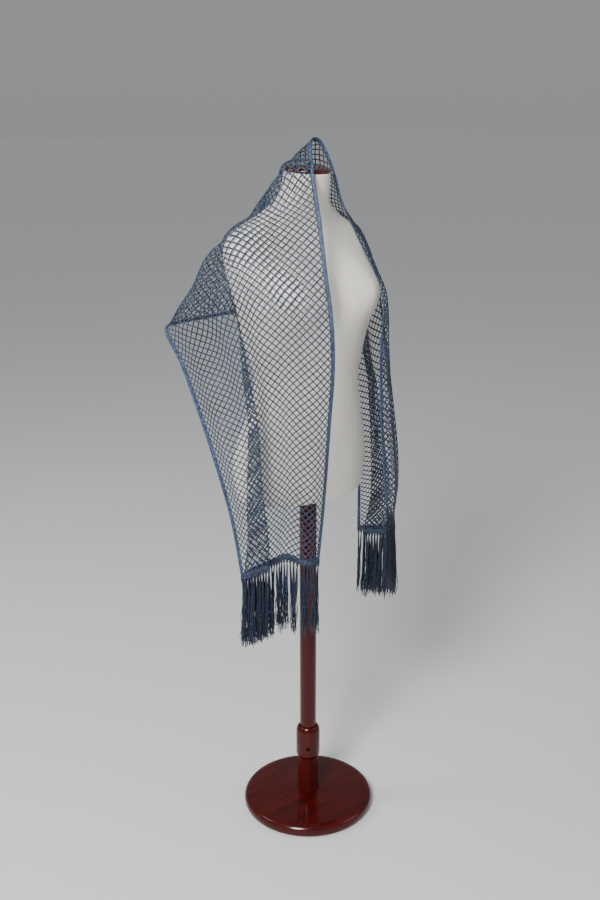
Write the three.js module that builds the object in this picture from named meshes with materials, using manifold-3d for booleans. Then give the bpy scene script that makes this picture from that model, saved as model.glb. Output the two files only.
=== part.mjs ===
// A long crocheted net shawl worn over a limbless dress form on a round wooden foot.
// Millimetres, +Z up. The origin is the middle of the foot's underside, on the floor.
// The form faces -Y, so its right shoulder is on the -X side.
import * as THREE from 'three';
import { mergeVertices } from 'three/addons/utils/BufferGeometryUtils.js';
import Module from 'manifold-3d';

const wasm = await Module();
wasm.setup();

// ---------------------------------------------------------------- driving sizes
const PART_GAP = 0.3; // clearance between pieces that touch
const SEAM_HALF = 0.5; // half the gap between two stretches of the net
const HEM_GAP = 0.6; // from the net to its hem bands

const CLOTH_WIDTH = 460; // net and both borders, flat
const CLOTH_LENGTH = 1722; // net without its hem bands, flat
const NET_WALL = 2.4;
const BORDER_WALL = 3.0;
const BORDER_WIDTH = 8;
const HEM_BAND = 12;
const FORM_CLEARANCE = 4.5; // from the form to the middle of the net
const NECK_DOME = { z: 1470, back: 3, wide: 60, tall: 64 }; // kept clear of cloth
const SHOULDER_CLEARANCE = { more: 1.15, z: 1392, tall: 40 }; // added where the form bends most

const FRINGE_LENGTH = 158;
const FRINGE_LOCKS = 46; // on each hem
const LOCK_RADIUS = 2.3;
const LOCK_SIDES = 3;
const LOCK_MARGIN = 5; // from the hem's corners to the first and last lock
const LOCK_ROOT = 0.4; // share of the hem band that a lock reaches up into
const LOCK_SWAY = { x: 7, y: 5, uneven: 0.06 }; // at its end, and how its length differs

const FOOT_RADIUS = 157;
const FOOT_HEIGHT = 34;
const SOCKET_RADIUS = 28.5; // its upper sleeve
const SOCKET_WAIST = 24.5; // its lower, thinner part
const SOCKET_STEP = 132; // height where the sleeve starts
const SOCKET_TOP = 209;
const SOCKET_FLOOR = 64; // the pole stands on it
const POLE_RADIUS = 19.5;
const POLE_SINK = 80; // how far the pole goes up into the torso
const SCREW_RADIUS = 4.5;
const SCREW_HEIGHT = 155;
const SCREW_TURN = -0.7; // the screw looks out between the form's front and right side
const SCREW_SUNK = 3; // its end lies this far inside the sleeve's face
const SCREW_WALL = 2; // wood left between the screw and the pole
const TORSO_BOTTOM = 810;
const TORSO_SHOULDER = 1330; // above it the sections change fast
const TORSO_AROUND = 30;
const TORSO_STEP = { body: 30, shoulder: 12 }; // height from ring to ring
const NECK_TOP = 1510;
const NECK_START = 1450;
const NECK_TILT = 0.09; // the top of the neck falls towards the front
const CAP_RADIUS = 48.5;
const CAP_BACK = 3; // its middle lies this far behind the pole's
const PAST = 10; // how far a cutting body reaches past the face that it cuts

// ---------------------------------------------------------------- tables
// A table is a line of column names and a row for each section.
function table(names, rows) {
  const keys = names.split(' ');
  return rows.map((row) => Object.fromEntries(keys.map((key, i) => [key, row[i]])));
}

// Smooth value of one column at x, by a Catmull-Rom curve through the rows.
function smooth(rows, along, column, x) {
  const last = rows.length - 1;
  let i = 0;
  while (i < last - 1 && x > rows[i + 1][along]) i += 1;
  const x0 = rows[i][along];
  const x1 = rows[i + 1][along];
  const t = Math.min(1, Math.max(0, (x - x0) / (x1 - x0)));
  const slope = (k) => {
    const a = rows[Math.max(0, k - 1)];
    const b = rows[Math.min(last, k + 1)];
    return (b[column] - a[column]) / (b[along] - a[along]);
  };
  const span = x1 - x0;
  const t2 = t * t;
  const t3 = t2 * t;
  return (
    rows[i][column] * (2 * t3 - 3 * t2 + 1) +
    rows[i + 1][column] * (3 * t2 - 2 * t3) +
    slope(i) * span * (t3 - 2 * t2 + t) +
    slope(i + 1) * span * (t3 - t2)
  );
}

// ---------------------------------------------------------------- the form
// Level sections of the torso: half width, half depth and how far back the middle lies.
const TORSO = table('z wide deep back', [
  [810, 158, 110, 28],
  [860, 167, 116, 30],
  [915, 163, 114, 25],
  [1000, 139, 103, 11],
  [1078, 125, 95, 3],
  [1170, 150, 107, 10],
  [1240, 163, 112, 14],
  [1300, 178, 106, 24],
  [1345, 182, 92, 38],
  [1376, 173, 74, 45],
  [1396, 151, 62, 46],
  [1412, 120, 56, 41],
  [1428, 94, 52, 32],
  [1446, 66, 50, 22],
  [1472, 53, 49, 10],
  [1510, 48, 48, 3],
]);
const BUST = { x: 86, z: 1266, wide: 44, tall: 46, out: 50 };

// Radius of the torso from the middle of its section at height z, towards (x, y).
function torsoRadius(x, y, z) {
  const wide = smooth(TORSO, 'z', 'wide', z);
  const deep = smooth(TORSO, 'z', 'deep', z);
  const reach = Math.hypot(x, y) || 1;
  const cos = x / reach;
  const sin = y / reach;
  const radius = 1 / Math.sqrt((cos / wide) ** 2 + (sin / deep) ** 2);
  if (sin >= 0) return radius;
  const side = (Math.abs(cos * radius) - BUST.x) / BUST.wide;
  const height = (z - BUST.z) / BUST.tall;
  return radius + BUST.out * Math.abs(sin) * Math.exp(-(side * side + height * height) / 2);
}

function torsoBack(z) {
  return smooth(TORSO, 'z', 'back', z);
}

function torsoGeometry() {
  const heights = [];
  for (let z = TORSO_BOTTOM; z < TORSO_SHOULDER; z += TORSO_STEP.body) heights.push(z);
  for (let z = TORSO_SHOULDER; z <= NECK_TOP; z += TORSO_STEP.shoulder) heights.push(z);
  const rings = heights.map((z) => {
    const lean = Math.max(0, (z - NECK_START) / (NECK_TOP - NECK_START)) * NECK_TILT;
    return Array.from({ length: TORSO_AROUND }, (_, k) => {
      const angle = (k / TORSO_AROUND) * 2 * Math.PI;
      const radius = torsoRadius(Math.cos(angle), Math.sin(angle), z);
      const y = Math.sin(angle) * radius + torsoBack(z);
      return [Math.cos(angle) * radius, y, z + lean * y];
    });
  });
  return closedRings(rings);
}

// ---------------------------------------------------------------- mesh makers
function geometryFrom(points, faces) {
  const geometry = new THREE.BufferGeometry();
  geometry.setAttribute('position', new THREE.Float32BufferAttribute(points.flat(), 3));
  geometry.setIndex(faces.flat());
  return geometry;
}

// Rings of equal count, each counter-clockwise from above, closed by a fan at both ends.
function closedRings(rings) {
  const around = rings[0].length;
  const points = rings.flat();
  const faces = [];
  for (let r = 0; r + 1 < rings.length; r += 1) {
    for (let k = 0; k < around; k += 1) {
      const a = r * around + k;
      const b = r * around + ((k + 1) % around);
      faces.push([a, b, b + around], [a, b + around, a + around]);
    }
  }
  const mean = (ring) => [0, 1, 2].map((axis) => ring.reduce((sum, p) => sum + p[axis], 0) / around);
  const low = points.length;
  const high = low + 1;
  points.push(mean(rings[0]), mean(rings[rings.length - 1]));
  const top = (rings.length - 1) * around;
  for (let k = 0; k < around; k += 1) {
    const next = (k + 1) % around;
    faces.push([low, next, k], [high, top + k, top + next]);
  }
  return geometryFrom(points, faces);
}

// A wall from a grid of middle points: rows run along the cloth, columns across it.
function wallGeometry(grid, normals, thickness) {
  const rows = grid.length;
  const columns = grid[0].length;
  const count = rows * columns;
  const points = [];
  for (const side of [0.5, -0.5]) {
    for (let i = 0; i < rows; i += 1) {
      for (let j = 0; j < columns; j += 1) {
        const p = grid[i][j];
        const n = normals[i][j];
        points.push([0, 1, 2].map((axis) => p[axis] + n[axis] * thickness * side));
      }
    }
  }
  const faces = [];
  const quad = (a, b, c, d) => faces.push([a, b, c], [a, c, d]);
  const at = (i, j) => i * columns + j;
  for (let i = 0; i + 1 < rows; i += 1) {
    for (let j = 0; j + 1 < columns; j += 1) {
      quad(at(i, j), at(i + 1, j), at(i + 1, j + 1), at(i, j + 1));
      quad(
        count + at(i, j),
        count + at(i, j + 1),
        count + at(i + 1, j + 1),
        count + at(i + 1, j),
      );
    }
  }
  for (let i = 0; i + 1 < rows; i += 1) {
    const end = columns - 1;
    quad(at(i, 0), count + at(i, 0), count + at(i + 1, 0), at(i + 1, 0));
    quad(at(i, end), at(i + 1, end), count + at(i + 1, end), count + at(i, end));
  }
  for (let j = 0; j + 1 < columns; j += 1) {
    const end = rows - 1;
    quad(at(0, j), at(0, j + 1), count + at(0, j + 1), count + at(0, j));
    quad(at(end, j), count + at(end, j), count + at(end, j + 1), at(end, j + 1));
  }
  return geometryFrom(points, faces);
}

function turned(profile, around) {
  const lathe = new THREE.LatheGeometry(
    profile.map(([radius, z]) => new THREE.Vector2(radius, z)),
    around,
  );
  lathe.rotateX(Math.PI / 2);
  return lathe;
}

function solidOf(geometry) {
  const plain = geometry.clone();
  plain.deleteAttribute('normal');
  plain.deleteAttribute('uv');
  const merged = mergeVertices(plain, 1e-3);
  return new wasm.Manifold(
    new wasm.Mesh({
      numProp: 3,
      vertProperties: new Float32Array(merged.attributes.position.array),
      triVerts: new Uint32Array(merged.index.array),
    }),
  );
}

function geometryOf(solid) {
  const mesh = solid.getMesh();
  const geometry = new THREE.BufferGeometry();
  geometry.setAttribute('position', new THREE.BufferAttribute(mesh.vertProperties, 3));
  geometry.setIndex(new THREE.BufferAttribute(mesh.triVerts, 1));
  return geometry;
}

// ---------------------------------------------------------------- the draped cloth
// Sections across the cloth, by their distance along it from the right hem.
// Each hangs from the inner edge over a crown to the outer edge, and fold is how steep,
// in radians, its soft folds may be.
const DRAPE = table('s inX inY inZ crownX crownY crownZ outX outY outZ fold', [
  [0, -70, -122, 704, -142, -88, 704, -216, -32, 674, 0.45],
  [130, -67, -137, 846, -152, -102, 848, -216, 3, 797, 0.45],
  [280, -65, -151, 1011, -163, -100, 1011, -229, 50, 938, 0.4],
  [390, -63, -160, 1130, -168, -79, 1130, -238, 94, 1040, 0.35],
  [480, -67, -159, 1230, -179, -47, 1222, -246, 130, 1118, 0.3],
  [560, -57, -129, 1318, -200, 15, 1300, -253, 173, 1182, 0.18],
  [650, -36, -86, 1413, -174, 72, 1368, -205, 195, 1188, 0.1],
  [700, -31, -68, 1461, -116, 62, 1404, -147, 198, 1190, 0.1],
  [750, -26, -50, 1509, -66, 50, 1474, -85, 198, 1192, 0.1],
  [850, 18, 9, 1573, -2, 121, 1466, 3, 200, 1193, 0.1],
  [885, 42, 9, 1572, 22, 119, 1461, 28, 199, 1193, 0.1],
  [940, 59, -10, 1519, 78, 95, 1440, 95, 195, 1192, 0.25],
  [1020, 69, -32, 1444, 126, 60, 1404, 168, 185, 1190, 0.2],
  [1095, 78, -68, 1378, 174, 22, 1348, 226, 150, 1183, 0.2],
  [1175, 94, -105, 1307, 180, -8, 1278, 224, 122, 1110, 0.25],
  [1230, 98, -130, 1257, 184, -32, 1225, 224, 108, 1060, 0.3],
  [1345, 92, -131, 1140, 199, -52, 1100, 226, 90, 950, 0.35],
  [1507, 96, -133, 978, 204, -66, 935, 228, 80, 800, 0.4],
  [1722, 122, -130, 770, 220, -76, 696, 234, 86, 641, 0.45],
]);

// Knife pleats, three layers deep, by the hem they start from: the section where they have
// run out, the width of the hidden layer at the hem, and how far across the cloth the fold
// that shows lies at the hem and at the pleat's end.
const PLEATS = table('hem end layer fold endFold', [
  [0, 570, 95, 360, 228],
  [CLOTH_LENGTH, 1150, 78, 339, 320],
]);
const PLEAT_TURN = 3.06; // radians at each fold of a pleat
const PLEAT_BEND = 18; // cloth taken by one fold
const WAVES = 4; // soft folds across the width
const WAVE_START = 0.4;

function ease(t) {
  const x = Math.min(1, Math.max(0, t + 0.5));
  return x * x * (3 - 2 * x);
}

// The pleat that section s crosses: the middles of its two folds, across the cloth.
function pleatAt(s) {
  const pleat = PLEATS[s < CLOTH_LENGTH / 2 ? 0 : 1];
  const share = Math.max(0, (s - pleat.end) / (pleat.hem - pleat.end));
  const layer = pleat.layer * share;
  const second = pleat.endFold + (pleat.fold - pleat.endFold) * share;
  return { layer, first: second - layer, second };
}

// Angle of the cloth to its section's line, at a distance across it.
function foldAngle(pleat, across, wave) {
  const past = (place) => ease((across - place) / PLEAT_BEND);
  const pleated = past(pleat.first) - past(pleat.second);
  const beside = past(pleat.first - pleat.layer) - past(pleat.second + pleat.layer);
  const soft = wave * Math.sin((2 * Math.PI * WAVES * across) / CLOTH_WIDTH + WAVE_START);
  return pleated * PLEAT_TURN + (1 - beside) * soft;
}

// Share of the pleat's thickness by which the cloth has sunk before it reaches the pleat.
function sunkShare(pleat, across) {
  return ease(across / (pleat.first - pleat.layer) - 0.5);
}

const FINE_STEPS = 184; // of the cloth's width, where its folds are worked out
const FIT_TURNS = 18; // halvings that find how deep the waves are

// How far the cloth goes along its section's line, and how far out of it, at each step.
function foldCourse(s, wave) {
  const pleat = pleatAt(s);
  const step = CLOTH_WIDTH / FINE_STEPS;
  const along = [0];
  const out = [0];
  for (let k = 0; k < FINE_STEPS; k += 1) {
    const angle = foldAngle(pleat, (k + 0.5) * step, wave);
    along.push(along[k] + Math.cos(angle) * step);
    out.push(out[k] + Math.sin(angle) * step);
  }
  return { along, out };
}

// The waves are as deep as the cloth's own width needs to fit the section.
function fittedCourse(s, length) {
  let low = 0;
  let high = smooth(DRAPE, 's', 'fold', s);
  for (let k = 0; k < FIT_TURNS; k += 1) {
    const wave = (low + high) / 2;
    const course = foldCourse(s, wave);
    if (course.along[FINE_STEPS] > length) low = wave;
    else high = wave;
  }
  return foldCourse(s, low);
}

const sub = (a, b) => a.map((value, i) => value - b[i]);
const addScaled = (a, b, k) => a.map((value, i) => value + b[i] * k);
const cross = (a, b) => [
  a[1] * b[2] - a[2] * b[1],
  a[2] * b[0] - a[0] * b[2],
  a[0] * b[1] - a[1] * b[0],
];
const unit = (a) => {
  const size = Math.hypot(...a) || 1;
  return a.map((value) => value / size);
};

const LINE_STEPS = 48;

// The section's own line: an arc through the inner edge, the crown and the outer edge.
function sectionLine(s) {
  const point = (name) => ['X', 'Y', 'Z'].map((axis) => smooth(DRAPE, 's', name + axis, s));
  const inner = point('in');
  const crown = point('crown');
  const outer = point('out');
  const firstLength = Math.hypot(...sub(crown, inner));
  const secondLength = Math.hypot(...sub(outer, crown));
  const middle = firstLength / (firstLength + secondLength);
  const rows = [
    { t: 0, x: inner[0], y: inner[1], z: inner[2] },
    { t: middle, x: crown[0], y: crown[1], z: crown[2] },
    { t: 1, x: outer[0], y: outer[1], z: outer[2] },
  ];
  const points = [];
  for (let k = 0; k <= LINE_STEPS; k += 1) {
    points.push(['x', 'y', 'z'].map((axis) => smooth(rows, 't', axis, k / LINE_STEPS)));
  }
  const lengths = [0];
  for (let k = 1; k < points.length; k += 1) {
    lengths.push(lengths[k - 1] + Math.hypot(...sub(points[k], points[k - 1])));
  }
  return { points, lengths, length: lengths[LINE_STEPS] };
}

function pointAlong(line, distance) {
  const { points, lengths } = line;
  let k = 1;
  while (k < LINE_STEPS && lengths[k] < distance) k += 1;
  const t = (distance - lengths[k - 1]) / (lengths[k] - lengths[k - 1]);
  return addScaled(points[k - 1], sub(points[k], points[k - 1]), t);
}

const REACH = 5; // how far to either side the way out of the cloth is measured
const onCloth = (s) => Math.min(CLOTH_LENGTH, Math.max(0, s));

// Middle of the cloth at s along and v across, before it meets the form.
function freeSection(s, columns) {
  const here = sectionLine(s);
  const before = sectionLine(onCloth(s - REACH));
  const after = sectionLine(onCloth(s + REACH));
  const course = fittedCourse(s, here.length);
  const total = course.along[FINE_STEPS];
  const drift = course.out[FINE_STEPS];
  const pleat = pleatAt(s);
  return columns.map((v) => {
    const step = (v / CLOTH_WIDTH) * FINE_STEPS;
    const k = Math.min(FINE_STEPS - 1, Math.max(0, Math.floor(step)));
    const between = (list) => list[k] + (list[k + 1] - list[k]) * (step - k);
    const share = between(course.along) / total;
    const base = pointAlong(here, share * here.length);
    const a = pointAlong(before, share * before.length);
    const b = pointAlong(after, share * after.length);
    const ahead = pointAlong(here, share * here.length + REACH);
    const behind = pointAlong(here, share * here.length - REACH);
    const outward = unit(cross(sub(b, a), sub(ahead, behind)));
    return addScaled(base, outward, between(course.out) - drift * sunkShare(pleat, v));
  });
}

// Signed distance from the form, and the way out of it.
function fromForm([x, y, z]) {
  const outside = (px, py, pz) => {
    const back = py - torsoBack(pz);
    return Math.hypot(px, back) - torsoRadius(px, back, pz);
  };
  const slope = [
    outside(x + 1, y, z) - outside(x - 1, y, z),
    outside(x, y + 1, z) - outside(x, y - 1, z),
    outside(x, y, z + 1) - outside(x, y, z - 1),
  ].map((value) => value / 2);
  const steep = Math.hypot(...slope) || 1;
  return { distance: outside(x, y, z) / steep, way: slope.map((value) => value / steep) };
}

// The neck and its cap count as one dome, so the net passes over and beside them smoothly.
function clearOfNeck([x, y, z]) {
  const back = y - NECK_DOME.back;
  const up = z - NECK_DOME.z;
  const flat = Math.hypot(x, back) / NECK_DOME.wide;
  const size = (flat ** 4 + (up / NECK_DOME.tall) ** 4) ** 0.25;
  if (size >= 1) return [x, y, z];
  return [x / size, NECK_DOME.back + back / size, NECK_DOME.z + up / size];
}

const CLEAR_TURNS = 4; // steps outward, because the form is round

function clearOfForm(p) {
  if (p[2] < TORSO_BOTTOM - FORM_CLEARANCE) return p;
  if (p[2] > NECK_DOME.z) return clearOfNeck(p);
  let q = p;
  for (let turn = 0; turn < CLEAR_TURNS; turn += 1) {
    const { distance, way } = fromForm(q);
    const height = (q[2] - SHOULDER_CLEARANCE.z) / SHOULDER_CLEARANCE.tall;
    const clearance = FORM_CLEARANCE + SHOULDER_CLEARANCE.more * Math.exp(-height * height);
    if (distance >= clearance) return q;
    q = addScaled(q, way, clearance - distance);
  }
  return q;
}

// Points of the cloth at s along it, with the way out of it at each.
function section(s, columns) {
  const at = (along, offset) =>
    freeSection(along, columns.map((v) => v + offset)).map(clearOfForm);
  const points = at(s, 0);
  const up = at(onCloth(s + REACH), 0);
  const down = at(onCloth(s - REACH), 0);
  const right = at(s, REACH);
  const left = at(s, -REACH);
  const normals = points.map((_, j) => unit(cross(sub(up[j], down[j]), sub(right[j], left[j]))));
  return { points, normals };
}

function spread(from, to, steps) {
  return Array.from({ length: steps + 1 }, (_, k) => from + ((to - from) * k) / steps);
}

function clothWall(stations, columns, thickness) {
  const sections = stations.map((s) => section(s, columns));
  const grid = sections.map((one) => one.points);
  const normals = sections.map((one) => one.normals);
  return wallGeometry(grid, normals, thickness);
}

// ---------------------------------------------------------------- the group
const shawl = new THREE.Group();

function addPiece(name, geometry, color, roughness, metalness = 0) {
  const material = new THREE.MeshStandardMaterial({ color, roughness, metalness });
  const mesh = new THREE.Mesh(geometry, material);
  mesh.name = name;
  shawl.add(mesh);
}

const YARN_BLUE = 0x3d5f8f;
const BORDER_BLUE = 0x6d94c4;
const JERSEY = 0xe9e4d8;
const MAHOGANY = 0x6e0f0c;
const STEEL = 0x2b2b2b;

// Net: five stretches, finer where the hanging ends are pleated.
const STRETCHES = table('name from to along across', [
  ['net_right_front', 0, 570, 17, 36],
  ['net_right_shoulder', 570, 750, 7, 20],
  ['net_back', 750, 980, 12, 20],
  ['net_left_shoulder', 980, 1150, 7, 20],
  ['net_left_front', 1150, CLOTH_LENGTH, 17, 36],
]);
const netColumns = (across) =>
  spread(BORDER_WIDTH + PART_GAP, CLOTH_WIDTH - BORDER_WIDTH - PART_GAP, across);
function stationsOf(part) {
  const from = part.from === 0 ? 0 : part.from + SEAM_HALF;
  const to = part.to === CLOTH_LENGTH ? part.to : part.to - SEAM_HALF;
  return spread(from, to, part.along);
}
for (const part of STRETCHES) {
  addPiece(part.name, clothWall(stationsOf(part), netColumns(part.across), NET_WALL), YARN_BLUE, 0.7);
}

// Long borders: a solid crocheted row along each edge of the net, bent where the net is.
const BORDERS = table('name from to', [
  ['border_inner', 0, BORDER_WIDTH],
  ['border_outer', CLOTH_WIDTH - BORDER_WIDTH, CLOTH_WIDTH],
]);
for (const edge of BORDERS) {
  const stations = STRETCHES.flatMap(stationsOf);
  addPiece(edge.name, clothWall(stations, [edge.from, edge.to], BORDER_WALL), BORDER_BLUE, 0.6);
}

// Hems: a solid band below each end of the net, with the fringe locks knotted into it.
const HEMS = table('name end away', [
  ['fringe_right', 0, -1],
  ['fringe_left', CLOTH_LENGTH, 1],
]);
const LOCK_SHAPE = table('down thick', [
  [0, 0.9],
  [0.45, 0.9],
  [1, 0.4],
]);

// The cloth's end section and the same line carried down past the hem.
const HEM_COLUMNS = [0, ...netColumns(STRETCHES[0].across), CLOTH_WIDTH];
function hemRows(hem) {
  const { points, normals } = section(hem.end, HEM_COLUMNS);
  const row = (drop) => points.map(([x, y, z]) => [x, y, z - drop]);
  return { top: row(HEM_GAP), bottom: row(HEM_GAP + HEM_BAND), normals };
}

// One lock: a tapered strand that hangs from its root. No two locks in a row sway alike.
function lockGeometry([x, y, z], index) {
  const length = FRINGE_LENGTH * (1 - LOCK_SWAY.uneven * Math.cos(index * 3.1));
  const sway = LOCK_SWAY.x * Math.sin(index * 2.4);
  const swing = LOCK_SWAY.y * Math.cos(index * 1.7);
  const rings = LOCK_SHAPE.map(({ down, thick }) => {
    const radius = LOCK_RADIUS * thick;
    return Array.from({ length: LOCK_SIDES }, (_, k) => {
      const angle = (k / LOCK_SIDES) * 2 * Math.PI + index;
      return [
        x + sway * down + Math.cos(angle) * radius,
        y + swing * down + Math.sin(angle) * radius,
        z - length * down,
      ];
    });
  });
  return closedRings(rings.reverse());
}

for (const hem of HEMS) {
  const { top, bottom, normals } = hemRows(hem);
  const band = hem.away < 0 ? [bottom, top] : [top, bottom];
  let solid = solidOf(wallGeometry(band, [normals, normals], BORDER_WALL));
  const places = spread(LOCK_MARGIN, CLOTH_WIDTH - LOCK_MARGIN, FRINGE_LOCKS - 1);
  places.forEach((v, k) => {
    const next = HEM_COLUMNS.findIndex((column) => column > v);
    const part = (v - HEM_COLUMNS[next - 1]) / (HEM_COLUMNS[next] - HEM_COLUMNS[next - 1]);
    const low = addScaled(bottom[next - 1], sub(bottom[next], bottom[next - 1]), part);
    const root = [low[0], low[1], low[2] + HEM_BAND * LOCK_ROOT];
    solid = solid.add(solidOf(lockGeometry(root, k)));
  });
  addPiece(hem.name, geometryOf(solid), YARN_BLUE, 0.7);
}

// Torso: one smooth body, with a bore for the pole in its underside.
const bore = turned(
  [
    [0, TORSO_BOTTOM - PAST],
    [POLE_RADIUS + PART_GAP, TORSO_BOTTOM - PAST],
    [POLE_RADIUS + PART_GAP, TORSO_BOTTOM + POLE_SINK],
    [0, TORSO_BOTTOM + POLE_SINK],
  ],
  24,
);
addPiece('torso', geometryOf(solidOf(torsoGeometry()).subtract(solidOf(bore))), JERSEY, 0.9);

// The outlines of the turned discs: how far in from the rim, and how far up.
function disc(radius, edge, around) {
  const profile = edge.map((row) => [radius - row.in, row.up]);
  return turned([[0, edge[0].up], ...profile, [0, edge[edge.length - 1].up]], around);
}
const CAP_EDGE = table('in up', [
  [2, 0],
  [0, 3],
  [0.8, 6],
  [6, 8.4],
  [24, 9.6],
  [40, 10],
]);
const FOOT_EDGE = table('in up', [
  [6, 0],
  [1.5, 4],
  [0, 12],
  [1.5, 20],
  [6, 25],
  [16, 28],
  [63, 31],
  [114, 33],
  [122, FOOT_HEIGHT],
]);

// Neck cap: a turned and lacquered disc that closes the top of the neck.
const cap = disc(CAP_RADIUS, CAP_EDGE, 32);
cap.rotateX(Math.atan(NECK_TILT));
cap.translate(0, CAP_BACK, NECK_TOP + CAP_BACK * NECK_TILT + PART_GAP);
addPiece('neck_cap', cap, MAHOGANY, 0.25);

// Pole, from the socket's bore up into the torso.
const pole = turned(
  [
    [0, SOCKET_FLOOR + PART_GAP],
    [POLE_RADIUS, SOCKET_FLOOR + PART_GAP],
    [POLE_RADIUS, TORSO_BOTTOM + POLE_SINK - PART_GAP],
    [0, TORSO_BOTTOM + POLE_SINK - PART_GAP],
  ],
  24,
);
addPiece('pole', pole, MAHOGANY, 0.25);

// Socket: a turned sleeve with a flared foot, a rounded mouth and a screw hole in front.
const SOCKET_FLARE = { out: 3, tall: 8 };
const SOCKET_MOUTH = { wall: 2.5, in: 2, low: 14, high: 6 };
const socketBlank = turned(
  [
    [0, FOOT_HEIGHT + PART_GAP],
    [SOCKET_WAIST + SOCKET_FLARE.out, FOOT_HEIGHT + PART_GAP],
    [SOCKET_WAIST, FOOT_HEIGHT + SOCKET_FLARE.tall],
    [SOCKET_WAIST, SOCKET_STEP - SOCKET_MOUTH.high],
    [SOCKET_RADIUS, SOCKET_STEP],
    [SOCKET_RADIUS, SOCKET_TOP - SOCKET_MOUTH.low],
    [SOCKET_RADIUS - SOCKET_MOUTH.in, SOCKET_TOP - SOCKET_MOUTH.high],
    [POLE_RADIUS + SOCKET_MOUTH.wall, SOCKET_TOP],
    [0, SOCKET_TOP],
  ],
  32,
);
const socketBore = turned(
  [
    [0, SOCKET_FLOOR],
    [POLE_RADIUS + PART_GAP, SOCKET_FLOOR],
    [POLE_RADIUS + PART_GAP, SOCKET_TOP + PAST],
    [0, SOCKET_TOP + PAST],
  ],
  24,
);

// A round bar pointing out of the socket towards the screw's side, from one radius to another.
function screwBar(radius, from, to) {
  const bar = turned(
    [
      [0, from],
      [radius, from],
      [radius, to],
      [0, to],
    ],
    16,
  );
  bar.rotateX(Math.PI / 2);
  bar.rotateZ(SCREW_TURN);
  bar.translate(0, 0, SCREW_HEIGHT);
  return bar;
}
const screwStart = POLE_RADIUS + SCREW_WALL;
const screwHole = screwBar(SCREW_RADIUS + PART_GAP, screwStart, SOCKET_RADIUS + PAST);
const socket = solidOf(socketBlank).subtract(solidOf(socketBore)).subtract(solidOf(screwHole));
addPiece('socket', geometryOf(socket), MAHOGANY, 0.25);
const screw = screwBar(SCREW_RADIUS, screwStart + PART_GAP, SOCKET_RADIUS - SCREW_SUNK);
addPiece('socket_screw', screw, STEEL, 0.5, 0.8);

// Foot: a slightly domed round plate with a rolled edge and a flat underside.
addPiece('foot', disc(FOOT_RADIUS, FOOT_EDGE, 42), MAHOGANY, 0.25);

export default shawl;
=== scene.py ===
import bisect
import math
import random

import bmesh
import bpy
from mathutils import Matrix, Vector


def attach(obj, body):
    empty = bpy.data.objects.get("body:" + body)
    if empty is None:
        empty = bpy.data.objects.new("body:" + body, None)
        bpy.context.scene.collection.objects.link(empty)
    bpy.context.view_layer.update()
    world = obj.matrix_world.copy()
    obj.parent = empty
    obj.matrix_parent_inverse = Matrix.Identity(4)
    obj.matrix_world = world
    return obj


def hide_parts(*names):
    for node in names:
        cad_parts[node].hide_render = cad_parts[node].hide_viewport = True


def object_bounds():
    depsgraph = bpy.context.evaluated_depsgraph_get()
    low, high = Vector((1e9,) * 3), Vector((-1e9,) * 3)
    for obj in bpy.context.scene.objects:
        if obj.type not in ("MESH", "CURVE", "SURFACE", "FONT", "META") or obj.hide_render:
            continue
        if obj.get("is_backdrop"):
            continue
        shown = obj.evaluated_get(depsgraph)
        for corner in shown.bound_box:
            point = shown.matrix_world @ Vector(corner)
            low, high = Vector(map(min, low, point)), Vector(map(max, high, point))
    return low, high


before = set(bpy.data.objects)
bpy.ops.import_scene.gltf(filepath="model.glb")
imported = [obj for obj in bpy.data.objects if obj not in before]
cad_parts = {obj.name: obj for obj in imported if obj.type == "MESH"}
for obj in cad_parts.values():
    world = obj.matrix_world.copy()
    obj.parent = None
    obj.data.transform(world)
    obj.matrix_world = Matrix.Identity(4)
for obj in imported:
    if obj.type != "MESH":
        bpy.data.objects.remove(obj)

# A long crocheted net shawl worn over a limbless dress form on a round wooden foot.
# Metres, +Z up. The origin is the middle of the foot's underside, and the form faces -Y.
cad_box = [list(corner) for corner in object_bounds()]

# ------------------------------------------------------------------------------- camera
# It stands a little to the form's right at eye height and looks down at the shawl, with
# the whole stand in view.
CAMERA_AWAY = 2.31  # from the pole, over the floor
CAMERA_HEIGHT = 1.63
CAMERA_TURN = math.radians(-40)  # round the form from its front, towards its right
CAMERA_PITCH = math.radians(-17.4)
CAMERA_LENS = 43.3  # mm, on a 36 mm sensor
CAMERA_SHIFT = -8 / 900  # the pole stands a little right of the frame's middle

camera = bpy.data.objects.new("camera", bpy.data.cameras.new("camera"))
bpy.context.collection.objects.link(camera)
camera.location = (
    CAMERA_AWAY * math.sin(CAMERA_TURN),
    -CAMERA_AWAY * math.cos(CAMERA_TURN),
    CAMERA_HEIGHT,
)
camera.rotation_euler = (math.pi / 2 + CAMERA_PITCH, 0, CAMERA_TURN)
camera.data.lens = CAMERA_LENS
camera.data.shift_x = CAMERA_SHIFT
bpy.context.scene.camera = camera

# --------------------------------------------------------------------- floor and lights
# A plain pale floor, and soft lights like those of a small studio: a large key beside
# the camera, a weaker fill opposite it, and a narrow one behind that rims the cloth.
FLOOR_HALF = 60.0
FLOOR_SHADE = 0.8


def new_piece(name, bm, material, smooth=True):
    """Makes an object at the origin from a bmesh, with one material."""
    mesh = bpy.data.meshes.new(name)
    bm.to_mesh(mesh)
    bm.free()
    mesh.materials.append(material)
    mesh.polygons.foreach_set("use_smooth", [smooth] * len(mesh.polygons))
    piece = bpy.data.objects.new(name, mesh)
    bpy.context.collection.objects.link(piece)
    return piece


def node_maker(tree):
    """A function that adds a node to the tree, with its sockets and settings by name."""

    def node(kind, **settings):
        added = tree.nodes.new(kind)
        for key, value in settings.items():
            if key in added.inputs:
                added.inputs[key].default_value = value
            else:
                setattr(added, key, value)
        return added

    return node


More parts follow.
